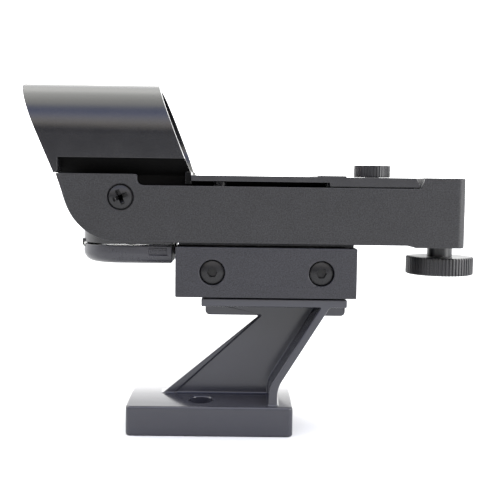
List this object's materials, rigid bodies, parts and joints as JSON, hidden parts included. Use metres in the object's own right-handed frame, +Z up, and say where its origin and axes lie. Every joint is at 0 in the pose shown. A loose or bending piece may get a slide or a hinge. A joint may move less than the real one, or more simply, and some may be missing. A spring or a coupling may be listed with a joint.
{
  "type": "red dot finder scope",
  "caption": "Red dot finder for a telescope: a sight tube tilts in a yoke, swivels on a clamp block and slides on a footed dovetail bracket.",
  "frame": {"origin": "centre of the foot's underside", "axes": "+X towards the eye end, +Y towards the azimuth knob, +Z up"},
  "size_m": [0.1335, 0.0374, 0.1007],
  "materials": {
    "bracket_plastic": "satin black moulding with a glossy top face",
    "block_plastic": "fine moulded grain",
    "frame_plastic": "fine moulded grain",
    "housing_plastic": "semi-gloss black",
    "cover_plastic": "satin black",
    "knob_plastic": "satin black with straight ribs",
    "battery_plastic": "semi-gloss black",
    "black_steel": "black oxide",
    "plated_steel": "zinc plated",
    "spring_steel": "bright wire",
    "turned_brass": "turned",
    "nylon": "natural nylon",
    "baffle_black": "dead black",
    "coated_glass": "dichroic reflector coating",
    "led_plastic": "clear red epoxy",
    "cell_steel": "nickel plated can",
    "contact_metal": "nickel plated",
    "red_insulation": "PVC insulation",
    "black_insulation": "PVC insulation",
    "switch_body": "moulded control"
  },
  "bodies": {
    "bracket": {"mount_bracket": "bracket_plastic"},
    "block": {"rail_clamp": "block_plastic", "clamp_screws": "black_steel", "clamp_nuts": "plated_steel", "azimuth_pivot_screw": "plated_steel", "azimuth_washer": "spring_steel", "swivel_washer": "nylon"},
    "azimuth_dial": {"azimuth_knob": "knob_plastic", "azimuth_screw": "plated_steel", "azimuth_circlip": "spring_steel"},
    "yoke": {"yoke_frame": "frame_plastic", "pivot_bushes": "turned_brass", "azimuth_nut": "turned_brass", "altitude_washer": "nylon", "altitude_spring": "spring_steel"},
    "altitude_dial": {"altitude_knob": "knob_plastic", "altitude_screw": "plated_steel", "altitude_circlip": "spring_steel"},
    "sight": {"sight_housing": "housing_plastic", "top_cover": "cover_plastic", "cover_screws": "black_steel", "pivot_screws": "black_steel", "pivot_washers": "nylon", "altitude_nut": "turned_brass", "lens_cell": "baffle_black", "reflector_lens": "coated_glass", "lens_retainer": "baffle_black", "led_holder": "baffle_black", "led": "led_plastic", "pinhole_mask": "baffle_black", "dimmer_body": "switch_body", "positive_contact": "contact_metal", "negative_contact": "contact_metal", "positive_wire": "red_insulation", "negative_wire": "black_insulation", "battery_hinge_pin": "plated_steel"},
    "dimmer_dial": {"brightness_knob": "knob_plastic", "dimmer_shaft": "plated_steel"},
    "battery_door": {"battery_cover": "battery_plastic", "coin_cell": "cell_steel"}
  },
  "joints": [
    {"name": "rail_slide", "type": "slide", "parent": "bracket", "child": "block", "axis": [1, 0, 0], "range_m": [-0.01, 0.01]},
    {"name": "azimuth_turn", "type": "hinge", "parent": "block", "child": "azimuth_dial", "pos_m": [0.02035, 0.02, 0.04965], "axis": [0, 1, 0], "range_deg": [-647, 647]},
    {"name": "azimuth_swivel", "type": "hinge", "parent": "block", "child": "yoke", "pos_m": [-0.0054, 0, 0.0555], "axis": [0, 0, 1], "range_deg": [-2, 2]},
    {"name": "altitude_turn", "type": "hinge", "parent": "yoke", "child": "altitude_dial", "pos_m": [0.06805, 0, 0.0549], "axis": [0, 0, 1], "range_deg": [-176, 1410]},
    {"name": "altitude_tilt", "type": "hinge", "parent": "yoke", "child": "sight", "pos_m": [-0.0255, 0, 0.06825], "axis": [0, -1, 0], "range_deg": [-0.15, 1.2], "deforming": ["altitude_spring"]},
    {"name": "dimmer_turn", "type": "hinge", "parent": "sight", "child": "dimmer_dial", "pos_m": [0.0463, -0.006, 0.0746], "axis": [0, 0, -1], "range_deg": [0, 300]},
    {"name": "battery_door_swing", "type": "hinge", "parent": "sight", "child": "battery_door", "pos_m": [-0.03705, 0, 0.0544], "axis": [0, 1, 0], "range_deg": [0, 60]}
  ],
  "couplings": [
    {"joint": "azimuth_swivel", "follows": "azimuth_turn", "ratio": 0.0030904},
    {"joint": "altitude_tilt", "follows": "altitude_turn", "ratio": 0.00085064}
  ]
}
